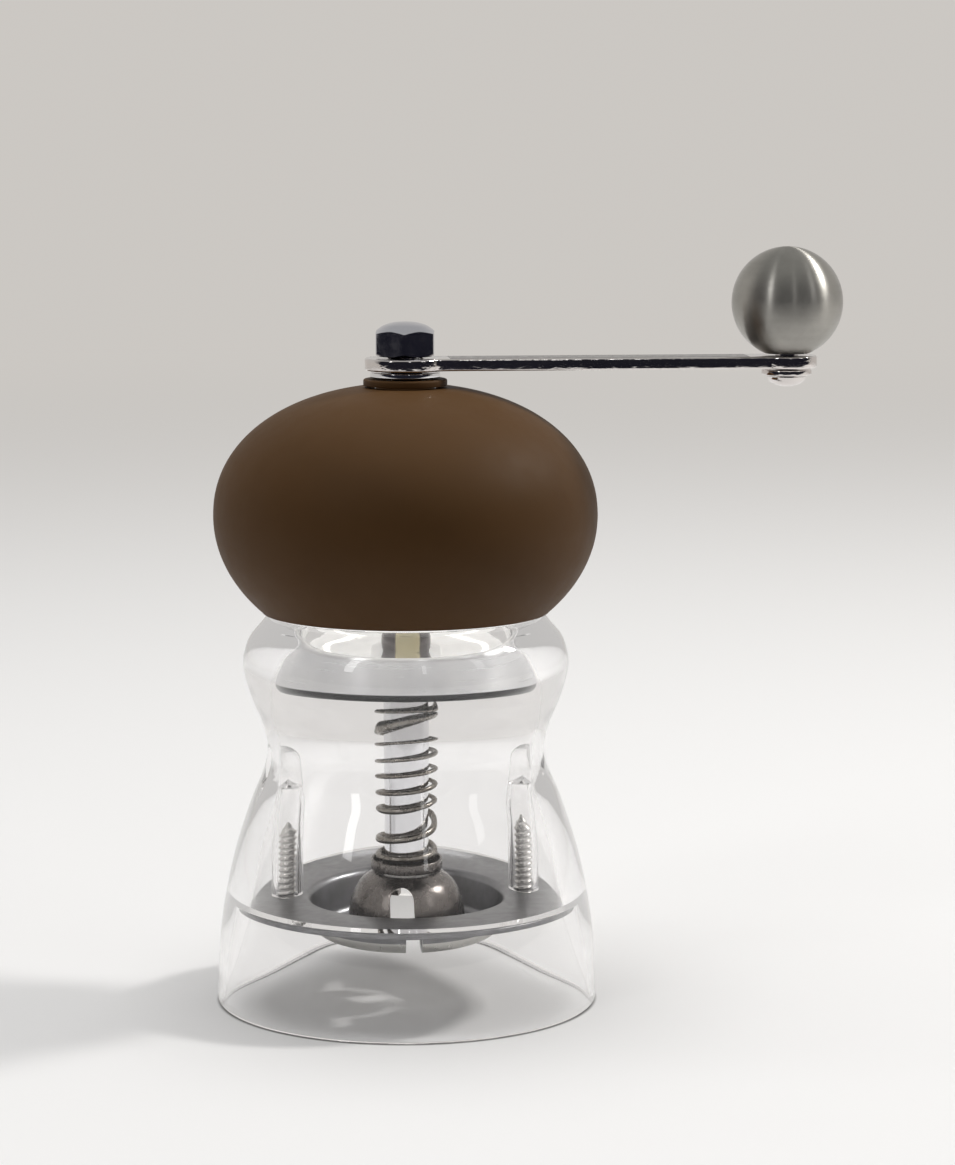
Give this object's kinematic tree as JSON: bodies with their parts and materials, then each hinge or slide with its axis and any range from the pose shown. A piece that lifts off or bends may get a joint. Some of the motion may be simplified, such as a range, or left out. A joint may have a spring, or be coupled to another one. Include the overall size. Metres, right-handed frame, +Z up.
{
  "type": "pepper mill",
  "caption": "Hand-cranked pepper mill with a clear waisted body, a round domed lid, a flat crank with a ball knob and a sprung bell-shaped grinding rotor.",
  "frame": {"origin": "centre of the whole object's bounding box, on the table; the mill's own axis is 20 mm towards -X", "axes": "+Z up along the mill's axis, +X from the mill's axis to the crank knob at rest"},
  "size_m": [0.102, 0.062, 0.1226],
  "materials": {
    "clear_acrylic": "clear polished acrylic",
    "pressed_steel": "grey pressed steel sheet, satin",
    "spring_steel": "drawn wire, half bright",
    "brown_plastic": "soft-touch matte brown",
    "cream_nylon": "natural nylon",
    "chrome_plate": "bright plated",
    "brushed_ball": "satin steel, brushed round the vertical axis",
    "dark_steel": "dark hardened steel, worn bright on the edges"
  },
  "bodies": {
    "mill_body": {"clear_body": "clear_acrylic", "base_plate": "pressed_steel", "plate_screw_left": "spring_steel", "plate_screw_right": "spring_steel", "compression_spring": "spring_steel", "spring_washer": "spring_steel"},
    "lid": {"dome_shell": "brown_plastic", "neck_bush": "brown_plastic", "dome_plug": "brown_plastic", "guide_bush": "cream_nylon", "shaft_sleeve": "chrome_plate", "stopper_cup": "brushed_ball", "thrust_washer": "chrome_plate"},
    "crank": {"crank_arm": "chrome_plate", "knob_washer": "chrome_plate"},
    "nut": {"acorn_nut": "chrome_plate"},
    "knob": {"knob_ball": "brushed_ball", "knob_screw": "chrome_plate"},
    "spring_carrier": {"spring_seat": "dark_steel"},
    "rotor": {"drive_shaft": "chrome_plate", "grinding_bell": "dark_steel", "bell_clip": "dark_steel"}
  },
  "joints": [
    {"name": "lid_lift", "type": "slide", "parent": "mill_body", "child": "lid", "axis": [0, 0, 1], "range_m": [0, 0.035]},
    {"name": "crank_turn", "type": "hinge", "parent": "lid", "child": "crank", "pos_m": [-0.02, 0, 0.104], "axis": [0, 0, 1], "continuous": true},
    {"name": "knob_spin", "type": "hinge", "parent": "crank", "child": "knob", "pos_m": [0.042, 0, 0.104], "axis": [0, 0, 1], "continuous": true},
    {"name": "nut_turn", "type": "hinge", "parent": "crank", "child": "nut", "pos_m": [-0.02, 0, 0.108], "axis": [0, 0, 1], "range_deg": [-360, 180]},
    {"name": "grind_adjust", "type": "slide", "parent": "mill_body", "child": "spring_carrier", "axis": [0, 0, 1], "range_m": [-0.0005, 0.001], "deforming": ["compression_spring"]},
    {"name": "shaft_spin", "type": "hinge", "parent": "spring_carrier", "child": "rotor", "pos_m": [-0.02, 0, 0.05], "axis": [0, 0, 1], "continuous": true}
  ],
  "couplings": [
    {"joint": "shaft_spin", "follows": "crank_turn", "ratio": 1},
    {"joint": "nut_turn", "follows": "grind_adjust", "rad_per_m": -6283.2}
  ]
}
